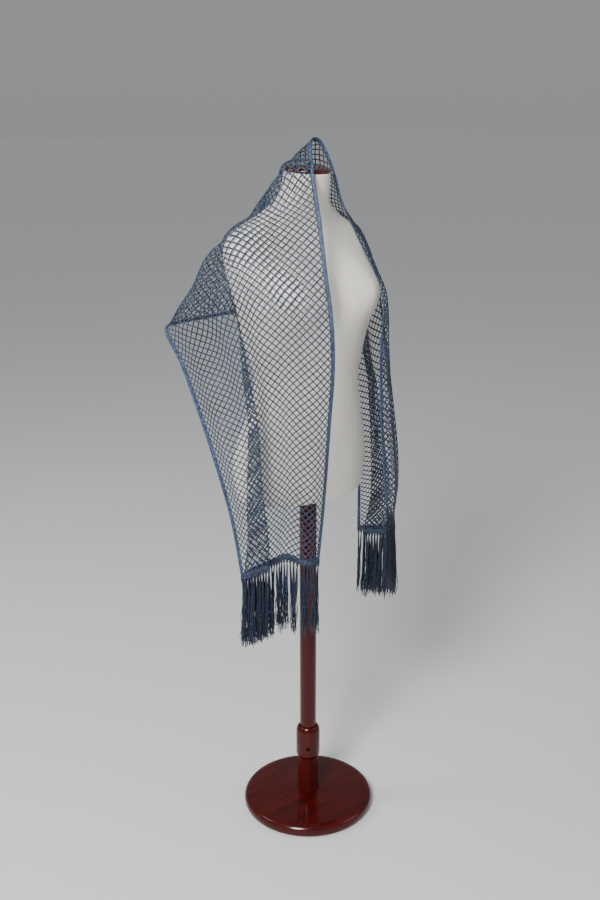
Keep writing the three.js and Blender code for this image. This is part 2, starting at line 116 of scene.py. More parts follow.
def new_material(name):
    """A material with its Principled shader, and the functions that add and join nodes."""
    material = bpy.data.materials.new(name)
    material.use_nodes = True
    tree = material.node_tree
    return material, tree.nodes["Principled BSDF"], node_maker(tree), tree.links.new


floor_paint, shader, node, join = new_material("pale_floor")
shader.inputs["Base Color"].default_value = (FLOOR_SHADE, FLOOR_SHADE, FLOOR_SHADE, 1)
shader.inputs["Roughness"].default_value = 0.6
grit = node("ShaderNodeTexNoise", Scale=40.0, Detail=3.0)
bump = node("ShaderNodeBump", Strength=0.05, Distance=0.002)
join(node("ShaderNodeTexCoord").outputs["Object"], grit.inputs["Vector"])
join(grit.outputs["Fac"], bump.inputs["Height"])
join(bump.outputs["Normal"], shader.inputs["Normal"])
bm = bmesh.new()
bmesh.ops.create_grid(bm, x_segments=1, y_segments=1, size=FLOOR_HALF)
new_piece("floor", bm, floor_paint, smooth=False)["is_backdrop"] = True

# The walls of the studio look like the far floor, and get brighter towards the ceiling.
WALL_LIGHT = 0.30
CEILING_LIGHT = 0.42

world = bpy.data.worlds.new("studio")
world.use_nodes = True
room = world.node_tree.nodes
background = room["Background"]
background.inputs["Color"].default_value = (0.97, 0.985, 1.0, 1)
direction = room.new("ShaderNodeTexCoord")
parts = room.new("ShaderNodeSeparateXYZ")
brightness = room.new("ShaderNodeMapRange")
brightness.inputs["To Min"].default_value = WALL_LIGHT
brightness.inputs["To Max"].default_value = CEILING_LIGHT
join = world.node_tree.links.new
join(direction.outputs["Generated"], parts.inputs["Vector"])
join(parts.outputs["Z"], brightness.inputs["Value"])
join(brightness.outputs["Result"], background.inputs["Strength"])
bpy.context.scene.world = world

# name, place, size, watts, colour
SOFT_LIGHTS = [
    ("key", (-2.7, -1.5, 3.0), 1.2, 175, (1.0, 0.985, 0.96)),
    ("fill", (2.2, -2.4, 2.2), 1.8, 14, (0.93, 0.96, 1.0)),
    ("rim", (-2.2, 1.6, 2.6), 1.0, 35, (0.95, 0.97, 1.0)),
]
AIM = Vector((0, 0, 1.05))  # the middle of the shawl
for name, place, size, watts, colour in SOFT_LIGHTS:
    lamp = bpy.data.lights.new(name, "AREA")
    lamp.shape = "DISK"
    lamp.size = size
    lamp.energy = watts
    lamp.color = colour
    light = bpy.data.objects.new(name, lamp)
    bpy.context.collection.objects.link(light)
    light.location = place
    light.rotation_euler = (AIM - Vector(place)).to_track_quat("-Z", "Y").to_euler()

# ------------------------------------------------------------------ foot, socket, pole
# The stand is turned from hardwood, stained mahogany and lacquered to a high gloss: a
# domed round foot, a sleeve with a rounded mouth, and a pole clamped in it by a screw.
GAP = 0.0003  # between pieces that touch
SAME_POINT = 1e-6  # points nearer than this are merged
FOOT_RADIUS = 0.157
FOOT_HEIGHT = 0.034
SOCKET_RADIUS = 0.0285
SOCKET_WAIST = 0.0245
SOCKET_STEP = 0.132
SOCKET_TOP = 0.209
SOCKET_FLOOR = FOOT_HEIGHT + 0.030
POLE_RADIUS = 0.0195
TORSO_BOTTOM = 0.810
POLE_SINK = 0.080
STEPS_AROUND = 96

MAHOGANY_DARK = (0.030, 0.0011, 0.0008, 1)
MAHOGANY_RED = (0.072, 0.0033, 0.0020, 1)


def wood_material(name, grain_scale):
    """Stained hardwood under clear lacquer: soft grain, long where its scale is low."""
    material, shader, node, join = new_material(name)
    place = node("ShaderNodeTexCoord")
    stretch = node("ShaderNodeMapping")
    stretch.inputs["Scale"].default_value = grain_scale
    grain = node("ShaderNodeTexNoise", Scale=3.0, Detail=4.0, Roughness=0.5, Distortion=0.4)
    tone = node("ShaderNodeValToRGB")
    tone.color_ramp.elements[0].position = 0.25
    tone.color_ramp.elements[0].color = MAHOGANY_DARK
    tone.color_ramp.elements[1].position = 0.75
    tone.color_ramp.elements[1].color = MAHOGANY_RED
    waves = node("ShaderNodeTexNoise", Scale=14.0, Detail=2.0)
    bump = node("ShaderNodeBump", Strength=0.06, Distance=0.001)
    wear = node("ShaderNodeMapRange")
    wear.inputs["To Min"].default_value = 0.16
    wear.inputs["To Max"].default_value = 0.3
    join(place.outputs["Object"], stretch.inputs["Vector"])
    join(stretch.outputs["Vector"], grain.inputs["Vector"])
    join(place.outputs["Object"], waves.inputs["Vector"])
    join(grain.outputs["Fac"], tone.inputs["Fac"])
    join(tone.outputs["Color"], shader.inputs["Base Color"])
    join(waves.outputs["Fac"], wear.inputs["Value"])
    join(wear.outputs["Result"], shader.inputs["Roughness"])
    join(waves.outputs["Fac"], bump.inputs["Height"])
    join(bump.outputs["Normal"], shader.inputs["Normal"])
    shader.inputs["Coat Weight"].default_value = 0.24
    shader.inputs["Coat Roughness"].default_value = 0.08
    shader.inputs["Specular IOR Level"].default_value = 0.15
    return material


wood = wood_material("lacquered_wood", (26, 26, 1.6))  # its grain runs up the pole
board = wood_material("lacquered_board", (2, 22, 22))  # and across the foot and the cap


def turned(profile, steps=STEPS_AROUND):
    """Spins an open profile of (radius, height) points round the Z axis into a solid."""
    bm = bmesh.new()
    points = [bm.verts.new((radius, 0, height)) for radius, height in profile]
    edges = [bm.edges.new(pair) for pair in zip(points, points[1:])]
    bmesh.ops.spin(
        bm,
        geom=points + edges,
        cent=(0, 0, 0),
        axis=(0, 0, 1),
        angle=2 * math.pi,
        steps=steps,
        use_merge=True,
    )
    bmesh.ops.remove_doubles(bm, verts=bm.verts, dist=SAME_POINT)
    bmesh.ops.recalc_face_normals(bm, faces=bm.faces)
    return bm


def rounded(bm, width, segments=3, above=25):
    """Bevels the edges of a turned solid that are sharper than an angle in degrees."""
    sharp = [e for e in bm.edges if e.calc_face_angle(0) > math.radians(above)]
    bmesh.ops.bevel(
        bm,
        geom=sharp,
        offset=width,
        segments=segments,
        profile=0.5,
        affect="EDGES",
        material=-1,
        clamp_overlap=True,
    )
    return bm


def place_piece(piece, slot, *nodes):
    """The piece stands for these solids, which it hides, and rides along. The slot is not used.
    """
    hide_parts(*nodes)
    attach(piece, "root")
    return piece


foot_profile = [
    (0, 0),
    (FOOT_RADIUS - 0.006, 0),
    (FOOT_RADIUS - 0.0015, 0.004),
    (FOOT_RADIUS, 0.012),
    (FOOT_RADIUS - 0.0015, 0.020),
    (FOOT_RADIUS - 0.006, 0.025),
    (FOOT_RADIUS - 0.016, 0.028),
    (FOOT_RADIUS * 0.6, 0.031),
    (SOCKET_RADIUS + 0.014, 0.033),
    (SOCKET_RADIUS + 0.006, FOOT_HEIGHT),
    (0, FOOT_HEIGHT),
]
bm = rounded(turned(foot_profile), width=0.0015, above=12)
place_piece(new_piece("wooden_foot", bm, board), "lacquered_wood", "foot")

socket_profile = [
    (0, FOOT_HEIGHT + GAP),
    (SOCKET_WAIST + 0.003, FOOT_HEIGHT + GAP),
    (SOCKET_WAIST, FOOT_HEIGHT + 0.008),
    (SOCKET_WAIST, SOCKET_STEP - 0.006),
    (SOCKET_RADIUS, SOCKET_STEP),
    (SOCKET_RADIUS, SOCKET_TOP - 0.014),
    (SOCKET_RADIUS - 0.002, SOCKET_TOP - 0.006),
    (POLE_RADIUS + 0.0025, SOCKET_TOP),
    (POLE_RADIUS + GAP, SOCKET_TOP),
    (POLE_RADIUS + GAP, SOCKET_FLOOR),
    (0, SOCKET_FLOOR),
]
socket = new_piece("wooden_socket", rounded(turned(socket_profile), width=0.001), wood)
place_piece(socket, "lacquered_wood", "socket")

pole_profile = [
    (0, SOCKET_FLOOR + GAP),
    (POLE_RADIUS, SOCKET_FLOOR + GAP),
    (POLE_RADIUS, TORSO_BOTTOM + POLE_SINK - GAP),
    (0, TORSO_BOTTOM + POLE_SINK - GAP),
]
bm = rounded(turned(pole_profile), width=0.0008)
place_piece(new_piece("wooden_pole", bm, wood), "lacquered_wood", "pole")

# ------------------------------------------------------------------------ socket screw
# A blackened steel screw with a slot clamps the pole at its height. It sits in a hole
# drilled into the sleeve from outside, a little below the wood's face.
SCREW_RADIUS = 0.0045
SCREW_SIDES = 32
SCREW_HEIGHT = 0.155
SCREW_TURN = -0.7  # it looks out between the form's front and right side
SCREW_WALL = 0.002  # wood left between the screw and the pole
SCREW_SUNK = 0.003  # its end lies this far inside the sleeve's face
SCREW_START = POLE_RADIUS + SCREW_WALL + GAP
SCREW_END = SOCKET_RADIUS - SCREW_SUNK
DRILL_PAST = 0.01  # the drill reaches this far out of the sleeve
CRISP_ANGLE = math.radians(35)  # the hole's rim is shaded as a sharp edge
SLOT_WIDTH = 0.0011
SLOT_DEPTH = 0.0010

steel, shader, node, join = new_material("blackened_steel")
shader.inputs["Base Color"].default_value = (0.012, 0.012, 0.013, 1)
shader.inputs["Metallic"].default_value = 1.0
scratches = node("ShaderNodeTexNoise", Scale=900.0, Detail=3.0)
dull = node("ShaderNodeMapRange")
dull.inputs["To Min"].default_value = 0.35
dull.inputs["To Max"].default_value = 0.65
join(node("ShaderNodeTexCoord").outputs["Object"], scratches.inputs["Vector"])
join(scratches.outputs["Fac"], dull.inputs["Value"])
join(dull.outputs["Result"], shader.inputs["Roughness"])


def screw_bar(radius, start, end):
    """A round bar that stands on the Z axis, from one distance to another."""
    return turned([(0, start), (radius, start), (radius, end), (0, end)], SCREW_SIDES)


def to_screw(bm):
    """Lays a bar on its side, pointing out of the sleeve where the screw is."""
    turn = Matrix.Rotation(SCREW_TURN, 3, "Z") @ Matrix.Rotation(math.pi / 2, 3, "X")
    bmesh.ops.rotate(bm, verts=bm.verts, cent=(0, 0, 0), matrix=turn)
    bmesh.ops.translate(bm, verts=bm.verts, vec=(0, 0, SCREW_HEIGHT))
    return bm


# The drill is a piece of its own while it cuts, and is then removed.
drill_bar = screw_bar(SCREW_RADIUS + GAP, SCREW_START - GAP, SOCKET_RADIUS + DRILL_PAST)
drill = new_piece("drill", to_screw(drill_bar), wood)
hole = socket.modifiers.new("screw_hole", "BOOLEAN")
hole.object = drill
bpy.context.view_layer.update()
depsgraph = bpy.context.evaluated_depsgraph_get()
drilled = bpy.data.meshes.new_from_object(socket.evaluated_get(depsgraph))
drilled.set_sharp_from_angle(angle=CRISP_ANGLE)
socket.modifiers.clear()
socket.data = drilled
bpy.data.objects.remove(drill)

bm = rounded(screw_bar(SCREW_RADIUS, SCREW_START, SCREW_END), width=0.0005)
for side in (-1, 1):
    bmesh.ops.bisect_plane(
        bm,
        geom=bm.verts[:] + bm.edges[:] + bm.faces[:],
        plane_co=(0, side * SLOT_WIDTH / 2, 0),
        plane_no=(0, 1, 0),
    )
for vert in bm.verts:
    on_end = vert.co.z > SCREW_END - 10 * SAME_POINT
    if on_end and abs(vert.co.y) < SLOT_WIDTH / 2 - SAME_POINT:
        vert.co.z -= SLOT_DEPTH
place_piece(new_piece("grub_screw", to_screw(bm), steel, smooth=False), "screw", "socket_screw")

# ------------------------------------------------------------------------------- torso
# The form is a padded shell of a woman's small size, covered in one layer of cream
# jersey that is pulled smooth and turned in round the open lower edge and the neck.
MM = 0.001


def table(names, rows):
    """A table with named columns: a list of values for each name."""
    return dict(zip(names.split(), (list(column) for column in zip(*rows))))


def smooth(rows, along, column, x):
    """Smooth value of one column at x, by a Catmull-Rom curve through the rows."""
    places, values = rows[along], rows[column]
    last = len(places) - 1
    i = 0
    while i < last - 1 and x > places[i + 1]:
        i += 1
    span = places[i + 1] - places[i]
    t = min(1.0, max(0.0, (x - places[i]) / span))

    def slope(k):
        a, b = max(0, k - 1), min(last, k + 1)
        return (values[b] - values[a]) / (places[b] - places[a])

    t2, t3 = t * t, t * t * t
    return (
        values[i] * (2 * t3 - 3 * t2 + 1)
        + values[i + 1] * (3 * t2 - 2 * t3)
        + slope(i) * span * (t3 - 2 * t2 + t)
        + slope(i + 1) * span * (t3 - t2)
    )


# Level sections, in millimetres: half width, half depth, how far back the middle lies.
TORSO = table("z wide deep back", [
    (810, 158, 110, 28),
    (860, 167, 116, 30),
    (915, 163, 114, 25),
    (1000, 139, 103, 11),
    (1078, 125, 95, 3),
    (1170, 150, 107, 10),
    (1240, 163, 112, 14),
    (1300, 178, 106, 24),
    (1345, 182, 92, 38),
    (1376, 173, 74, 45),
    (1396, 151, 62, 46),
    (1412, 120, 56, 41),
    (1428, 94, 52, 32),
    (1446, 66, 50, 22),
    (1472, 53, 49, 10),
    (1510, 48, 48, 3),
])
# Where the bust's crowns are, how far they spread, and how far they stand out.
BUST_X, BUST_Z, BUST_WIDE, BUST_TALL, BUST_OUT = 86, 1266, 44, 46, 50
NECK_TOP = 1510
NECK_START = 1450
NECK_TILT = 0.09  # the top of the neck falls towards the front
TORSO_AROUND = 144
TORSO_STEP = 7


def torso_radius(x, y, z):
    """Radius of the torso from the middle of its section at height z, towards (x, y)."""
    wide = smooth(TORSO, "z", "wide", z)
    deep = smooth(TORSO, "z", "deep", z)
    reach = math.hypot(x, y) or 1.0
    cos, sin = x / reach, y / reach
    radius = 1 / math.hypot(cos / wide, sin / deep)
    if sin >= 0:
        return radius
    side = (abs(cos * radius) - BUST_X) / BUST_WIDE
    height = (z - BUST_Z) / BUST_TALL
    return radius + BUST_OUT * abs(sin) * math.exp(-(side * side + height * height) / 2)


def torso_back(z):
    """How far behind the pole the middle of the section at height z lies."""
    return smooth(TORSO, "z", "back", z)


def jersey_material():
    """Cream cotton jersey: fine knitted wales, a few slubs, and a soft nap that catches light."""
    material, shader, node, join = new_material("cream_jersey")
    place = node("ShaderNodeTexCoord")
    wales = node("ShaderNodeTexWave", Scale=420.0, Distortion=0.4, bands_direction="X")
    fibre = node("ShaderNodeTexNoise", Scale=1500.0, Detail=2.0)
    slub = node("ShaderNodeTexNoise", Scale=9.0, Detail=4.0)
    tone = node("ShaderNodeValToRGB")
    tone.color_ramp.elements[0].position = 0.3
    tone.color_ramp.elements[0].color = (0.79, 0.745, 0.665, 1)
    tone.color_ramp.elements[1].position = 0.7
    tone.color_ramp.elements[1].color = (0.87, 0.835, 0.765, 1)
    height = node("ShaderNodeMath", operation="ADD")
    bump = node("ShaderNodeBump", Strength=0.25, Distance=0.0003)
    for texture in (wales, fibre, slub):
        join(place.outputs["Object"], texture.inputs["Vector"])
    join(slub.outputs["Fac"], tone.inputs["Fac"])
    join(tone.outputs["Color"], shader.inputs["Base Color"])
    join(wales.outputs["Fac"], height.inputs[0])
    join(fibre.outputs["Fac"], height.inputs[1])
    join(height.outputs["Value"], bump.inputs["Height"])
    join(bump.outputs["Normal"], shader.inputs["Normal"])
    shader.inputs["Roughness"].default_value = 0.62
    shader.inputs["Sheen Weight"].default_value = 0.25
    shader.inputs["Sheen Roughness"].default_value = 0.45
    return material


jersey = jersey_material()
bm = bmesh.new()
bmesh.ops.create_circle(bm, segments=TORSO_AROUND, radius=1.0)
edges = bm.edges[:]
levels = [*range(round(TORSO_BOTTOM / MM), NECK_TOP, TORSO_STEP), NECK_TOP]
for z in levels[1:]:
    raised = bmesh.ops.extrude_edge_only(bm, edges=edges)["geom"]
    edges = [part for part in raised if isinstance(part, bmesh.types.BMEdge)]
    ring = [part for part in raised if isinstance(part, bmesh.types.BMVert)]
    bmesh.ops.translate(bm, verts=ring, vec=(0, 0, 1))
for vert in bm.verts:
    cos, sin = vert.co.x, vert.co.y
    z = levels[round(vert.co.z)]
    lean = max(0.0, (z - NECK_START) / (NECK_TOP - NECK_START)) * NECK_TILT
    radius = torso_radius(cos, sin, z)
    y = sin * radius + torso_back(z)
    vert.co = Vector((cos * radius, y, z + lean * y)) * MM
bmesh.ops.holes_fill(bm, edges=[edge for edge in bm.edges if edge.is_boundary])
bmesh.ops.recalc_face_normals(bm, faces=bm.faces)
torso = new_piece("jersey_torso", bm, jersey)
torso_edge = torso.modifiers.new("turned_in_edge", "BEVEL")
torso_edge.width = 0.003
torso_edge.segments = 4
torso_edge.limit_method = "ANGLE"
torso_edge.angle_limit = math.radians(50)
place_piece(torso, "jersey", "torso")

# ---------------------------------------------------------------------------- neck cap
# A small turned disc of the same lacquered wood closes the neck. It is glued on top and
# follows the neck's tilt towards the front.
CAP_RADIUS = 0.0485
CAP_THICKNESS = 0.010
CAP_BACK = 0.003  # its middle lies this far behind the pole's
cap_profile = [
    (0, 0),
    (CAP_RADIUS - 0.002, 0),
    (CAP_RADIUS, 0.003),
    (CAP_RADIUS - 0.0008, 0.006),
    (CAP_RADIUS - 0.006, 0.0084),
    (CAP_RADIUS * 0.5, CAP_THICKNESS - 0.0004),
    (0, CAP_THICKNESS),
]
bm = rounded(turned(cap_profile), width=0.0008, above=15)
tilt = Matrix.Rotation(math.atan(NECK_TILT), 3, "X")
bmesh.ops.rotate(bm, verts=bm.verts, cent=(0, 0, 0), matrix=tilt)
cap_height = NECK_TOP * MM + CAP_BACK * NECK_TILT + GAP
bmesh.ops.translate(bm, verts=bm.verts, vec=(0, CAP_BACK, cap_height))
place_piece(new_piece("wooden_cap", bm, board), "lacquered_wood", "neck_cap")

# -------------------------------------------------------------------- the hanging cloth
# The shawl was worked flat, 46 cm wide, and hangs over the form's back and both fronts
# like a hood without a head. Every piece of it is first laid out flat, x across the
# cloth, y along it and z above it, and then moved onto the way that the cloth hangs.
CLOTH_WIDTH = 460
CLOTH_LENGTH = 1722
HEM_GAP = 0.6  # between the net and a hem band
FORM_CLEARANCE = 4.5  # from the middle of the cloth to the torso
SHOULDER_MORE, SHOULDER_Z, SHOULDER_TALL = 1.15, 1392, 40  # wider over the shoulders
DOME_Z, DOME_BACK, DOME_WIDE, DOME_TALL = 1470, 3, 60, 64  # round the neck and its cap
FAR_OFF = 60  # cloth that hangs this far from the torso is left as it is
CLEARING_ROUNDS = 4  # times that a point is moved out, to come clear

# Sections across the cloth, in millimetres, by their distance along it from the right
# hem. Each hangs from the inner edge over a crown to the outer edge, and fold is how
# steep, in radians, its soft folds may be.
DRAPE = table("s inX inY inZ crownX crownY crownZ outX outY outZ fold", [
    (0, -70, -122, 704, -142, -88, 704, -216, -32, 674, 0.45),
    (130, -67, -137, 846, -152, -102, 848, -216, 3, 797, 0.45),
    (280, -65, -151, 1011, -163, -100, 1011, -229, 50, 938, 0.4),
    (390, -63, -160, 1130, -168, -79, 1130, -238, 94, 1040, 0.35),
    (480, -67, -159, 1230, -179, -47, 1222, -246, 130, 1118, 0.3),
    (560, -57, -129, 1318, -200, 15, 1300, -253, 173, 1182, 0.18),
    (650, -36, -86, 1413, -174, 72, 1368, -205, 195, 1188, 0.1),
    (700, -31, -68, 1461, -116, 62, 1404, -147, 198, 1190, 0.1),
    (750, -26, -50, 1509, -66, 50, 1474, -85, 198, 1192, 0.1),
    (850, 18, 9, 1573, -2, 121, 1466, 3, 200, 1193, 0.1),
    (885, 42, 9, 1572, 22, 119, 1461, 28, 199, 1193, 0.1),
    (940, 59, -10, 1519, 78, 95, 1440, 95, 195, 1192, 0.25),
    (1020, 69, -32, 1444, 126, 60, 1404, 168, 185, 1190, 0.2),
    (1095, 78, -68, 1378, 174, 22, 1348, 226, 150, 1183, 0.2),
    (1175, 94, -105, 1307, 180, -8, 1278, 224, 122, 1110, 0.25),
    (1230, 98, -130, 1257, 184, -32, 1225, 224, 108, 1060, 0.3),
    (1345, 92, -131, 1140, 199, -52, 1100, 226, 90, 950, 0.35),
    (1507, 96, -133, 978, 204, -66, 935, 228, 80, 800, 0.4),
    (1722, 122, -130, 770, 220, -76, 696, 234, 86, 641, 0.45),
])
# Knife pleats, three layers deep, by the hem they start from: the section where they
# have run out, the width of the hidden layer at the hem, and how far across the cloth
# the fold that shows lies at the hem and at the pleat's end.
PLEATS = table("hem end layer fold endFold", [
    (0, 570, 95, 360, 228),
    (CLOTH_LENGTH, 1150, 78, 339, 320),
])
PLEAT_TURN = 3.06  # radians that the cloth turns back in a pleat
PLEAT_BEND = 18  # width of the bend
WAVES = 4  # soft folds across the cloth
WAVE_START = 0.4
FINE_STEPS = 184  # across the cloth, along a fold
LINE_STEPS = 48  # along a section's line
FIT_ROUNDS = 18  # halvings in the search for the folds' depth
REACH = 5.0  # to each side, where the line's direction is measured


def ease(t):
    """Rises smoothly from 0 to 1 while t goes from -0.5 to 0.5."""
    x = min(1.0, max(0.0, t + 0.5))
    return x * x * (3 - 2 * x)


def pleat_at(s):
    """The pleat that section s crosses: its hidden layer and the middles of its folds."""
    k = 0 if s < CLOTH_LENGTH / 2 else 1
    hem, end, layer, fold, end_fold = (PLEATS[name][k] for name in PLEATS)
    share = max(0.0, (s - end) / (hem - end))
    second = end_fold + (fold - end_fold) * share
    return layer * share, second - layer * share, second


def fold_course(pleat, wave):
    """How far the cloth goes along its section's line, and out of it, at each step."""
    layer, first, second = pleat
    step = CLOTH_WIDTH / FINE_STEPS
    along, out = [0.0], [0.0]
    for k in range(FINE_STEPS):
        across = (k + 0.5) * step
        pleated = ease((across - first) / PLEAT_BEND) - ease((across - second) / PLEAT_BEND)
        beside = ease((across - first + layer) / PLEAT_BEND)
        beside -= ease((across - second - layer) / PLEAT_BEND)
        soft = wave * math.sin(2 * math.pi * WAVES * across / CLOTH_WIDTH + WAVE_START)
        angle = pleated * PLEAT_TURN + (1 - beside) * soft
        along.append(along[k] + math.cos(angle) * step)
        out.append(out[k] + math.sin(angle) * step)
    return along, out


def fitted_course(s, length):
    """The waves are as deep as the cloth's own width needs to fit the section."""
    low, high = 0.0, smooth(DRAPE, "s", "fold", s)
    for _ in range(FIT_ROUNDS):
        wave = (low + high) / 2
        if fold_course(pleat_at(s), wave)[0][FINE_STEPS] > length:
            low = wave
        else:
            high = wave
    return fold_course(pleat_at(s), low)


def section_line(s):
    """The section's own line: an arc through the inner edge, the crown and the outer edge."""
    inner, crown, outer = (
        Vector([smooth(DRAPE, "s", name + axis, s) for axis in "XYZ"])
        for name in ("in", "crown", "out")
    )
    first, second = (crown - inner).length, (outer - crown).length
    rows = {"t": [0.0, first / (first + second), 1.0]}
    for axis in range(3):
        rows[axis] = [inner[axis], crown[axis], outer[axis]]
    points = [
        Vector([smooth(rows, "t", axis, k / LINE_STEPS) for axis in range(3)])
        for k in range(LINE_STEPS + 1)
    ]
    lengths = [0.0]
    for a, b in zip(points, points[1:]):
        lengths.append(lengths[-1] + (b - a).length)
    return points, lengths


def point_along(line, distance):
    """The point at a distance along a section's line, or straight on past its ends."""
    points, lengths = line
    k = min(LINE_STEPS, max(1, bisect.bisect_left(lengths, distance)))
    t = (distance - lengths[k - 1]) / (lengths[k] - lengths[k - 1])
    return points[k - 1].lerp(points[k], t) if 0 <= t <= 1 else (
        points[k - 1] + (points[k] - points[k - 1]) * t
    )


def clear_of_form(p):
    """Keeps a point of the cloth just off the torso, and off the neck and its cap."""
    if p.z < TORSO_BOTTOM / MM - FORM_CLEARANCE:
        return p
    if p.z > DOME_Z:
        from_axis = Vector((p.x, p.y - DOME_BACK, p.z - DOME_Z))
        flat = math.hypot(from_axis.x, from_axis.y) / DOME_WIDE
        grown = (flat**4 + (from_axis.z / DOME_TALL) ** 4) ** 0.25
        return p if grown >= 1 else Vector((0, DOME_BACK, DOME_Z)) + from_axis / grown

    def outside(x, y, z):
        back = y - torso_back(z)
        return math.hypot(x, back) - torso_radius(x, back, z)

    for _ in range(CLEARING_ROUNDS):
        if outside(*p) > FAR_OFF:
            return p
        way = Vector([
            outside(*(p + step)) - outside(*(p - step))
            for step in (Vector((1, 0, 0)), Vector((0, 1, 0)), Vector((0, 0, 1)))
        ]) / 2
        steep = way.length or 1.0
        rise = (p.z - SHOULDER_Z) / SHOULDER_TALL
        clearance = FORM_CLEARANCE + SHOULDER_MORE * math.exp(-rise * rise)
        distance = outside(*p) / steep
        if distance >= clearance:
            return p
        p = p + way / steep * (clearance - distance)
    return p


# The hanging cloth is worked out once on a fine lattice, and read between its knots.
ROWS = 344
COLUMNS = 92
row_step = CLOTH_LENGTH / ROWS
column_step = CLOTH_WIDTH / COLUMNS
lines = [section_line(k * row_step) for k in range(ROWS + 1)]
lattice = []
for i in range(ROWS + 1):
    s = i * row_step
    here, before, after = lines[i], lines[max(0, i - 1)], lines[min(ROWS, i + 1)]
    lengths = [line[1][-1] for line in (here, before, after)]
    along, out = fitted_course(s, lengths[0])
    layer, first, _ = pleat_at(s)
    row = []
    for j in range(COLUMNS + 1):
        fine = j * FINE_STEPS // COLUMNS
        share = along[fine] / along[-1]
        base = point_along(here, share * lengths[0])
        down_cloth = point_along(after, share * lengths[2])
        down_cloth -= point_along(before, share * lengths[1])
        across_cloth = point_along(here, share * lengths[0] + REACH)
        across_cloth -= point_along(here, share * lengths[0] - REACH)
        outward = down_cloth.cross(across_cloth).normalized()
        sunk = out[-1] * ease(j * column_step / (first - layer) - 0.5)
        row.append(clear_of_form(base + outward * (out[fine] - sunk)))
    lattice.append(row)


def blend_knots(grid, i, j):
    """Value of the lattice between its knots."""
    i0, j0 = min(ROWS - 1, int(i)), min(COLUMNS - 1, int(j))
    near = grid[i0][j0].lerp(grid[i0][j0 + 1], j - j0)
    far = grid[i0 + 1][j0].lerp(grid[i0 + 1][j0 + 1], j - j0)
    return near.lerp(far, i - i0)


ways_out = []
for i in range(ROWS + 1):
    row = []
    for j in range(COLUMNS + 1):
        down_cloth = lattice[min(ROWS, i + 1)][j] - lattice[max(0, i - 1)][j]
        across_cloth = lattice[i][min(COLUMNS, j + 1)] - lattice[i][max(0, j - 1)]
        row.append(down_cloth.cross(across_cloth).normalized())
    ways_out.append(row)


def hang(across, along, above=0.0):
    """Where a point of the flat cloth hangs. Past either hem it hangs straight down."""
    i = min(ROWS, max(0.0, along / row_step))
    j = min(COLUMNS, max(0.0, across / column_step))
    past = max(0.0, -along, along - CLOTH_LENGTH)
    place = blend_knots(lattice, i, j) + blend_knots(ways_out, i, j).normalized() * above
    return Vector((place.x, place.y, place.z - past)) * MM


def hang_up(bm):
    """Lays a UV map in metres of flat cloth on a flat bmesh, and moves it onto the drape."""
    layer = bm.loops.layers.uv.new("cloth")
    for face in bm.faces:
        for loop in face.loops:
            loop[layer].uv = (loop.vert.co.x * MM, loop.vert.co.y * MM)
    for vert in bm.verts:
        vert.co = hang(*vert.co)


# ------------------------------------------------------------------------------ the net
# Crocheted filet of a twisted silky yarn: diamonds of about 18 by 14 mm from corner to
# corner, with thickened knots, worked in one piece. It is cut where the solids are.
BORDER_WIDTH = 8
SEAM_GAP = 0.3
NET_CELLS_ACROSS = 24
NET_ROWS = 120
STRAND_WIDTH = 2.6
STRAND_THICKNESS = 1.8
KNOT_THICKNESS = 2.4
RIM_THICKNESS = 0.6  # of a strand where it meets a hole
CORNER_FILL = 2.0  # how far each corner of a hole is filled by its knot
# Where each stretch starts and ends along the cloth.
STRETCHES = [
    ("right_front", 0, 570),
    ("right_shoulder", 570, 750),
    ("back", 750, 980),
    ("left_shoulder", 980, 1150),
    ("left_front", 1150, CLOTH_LENGTH),
]


def yarn_material(name, shade, light, dark, roughness, stitch, relief):
    """Silky yarn: a colour that drifts along the cloth, plied strands and loose fibres."""
    material, shader, node, join = new_material(name)
    place = node("ShaderNodeUVMap", uv_map="cloth")
    yarn = node("ShaderNodeGroup", node_tree=yarn_group())
    yarn.inputs["Middle"].default_value = shade
    yarn.inputs["Light"].default_value = light
    yarn.inputs["Dark"].default_value = dark
    yarn.inputs["Roughness"].default_value = roughness
    yarn.inputs["Stitch"].default_value = stitch
    bump = node("ShaderNodeBump", Strength=relief, Distance=0.0004)
    join(place.outputs["UV"], yarn.inputs["Cloth"])
    join(yarn.outputs["Color"], shader.inputs["Base Color"])
    join(yarn.outputs["Roughness"], shader.inputs["Roughness"])
    join(yarn.outputs["Height"], bump.inputs["Height"])
    join(bump.outputs["Normal"], shader.inputs["Normal"])
    shader.inputs["Sheen Weight"].default_value = 0.06
    shader.inputs["Sheen Roughness"].default_value = 0.3
    shader.inputs["Sheen Tint"].default_value = (0.62, 0.75, 1.0, 1)
    shader.inputs["Specular IOR Level"].default_value = 0.45
    return material


